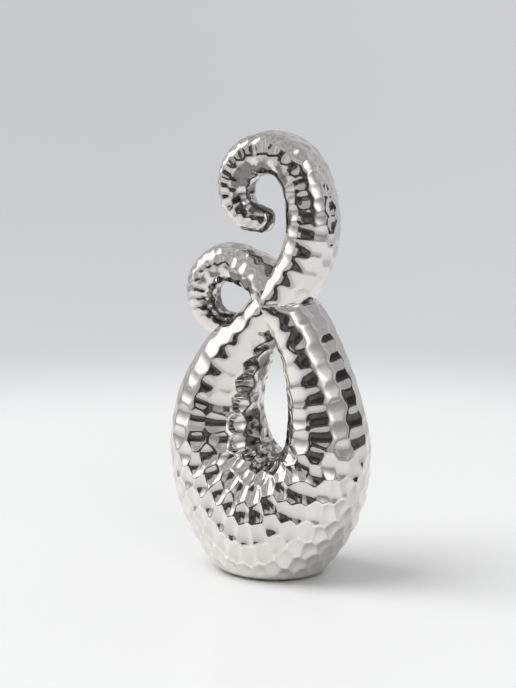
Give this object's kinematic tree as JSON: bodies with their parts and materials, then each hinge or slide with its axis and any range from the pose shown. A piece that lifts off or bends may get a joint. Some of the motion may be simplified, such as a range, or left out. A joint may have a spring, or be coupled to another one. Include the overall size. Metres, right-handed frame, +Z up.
{
  "type": "plated ceramic loop ornament",
  "caption": "Free-standing silver-plated ceramic ornament: a dimpled tapering limb loops round a teardrop opening, crosses itself and ends in a tall curl and a small curl.",
  "frame": {"origin": "on the surface that the ornament stands on, under the middle of its bounding box", "axes": "+Z up; the limb lies in the XZ plane; -Y is the front, from which the tall curl stands to the right of the small curl"},
  "size_m": [0.1204, 0.0736, 0.2516],
  "materials": {
    "silver_plated_ceramic": "mirror silver plating over hammered honeycomb dimples, bare ceramic on the underside of the foot",
    "pad_felt": "pressed dark felt"
  },
  "bodies": {
    "root": {"loop_body": "silver_plated_ceramic", "tall_curl": "silver_plated_ceramic", "small_curl": "silver_plated_ceramic", "felt_pad_front_left": "pad_felt", "felt_pad_front_right": "pad_felt", "felt_pad_rear_left": "pad_felt", "felt_pad_rear_right": "pad_felt"}
  },
  "joints": []
}
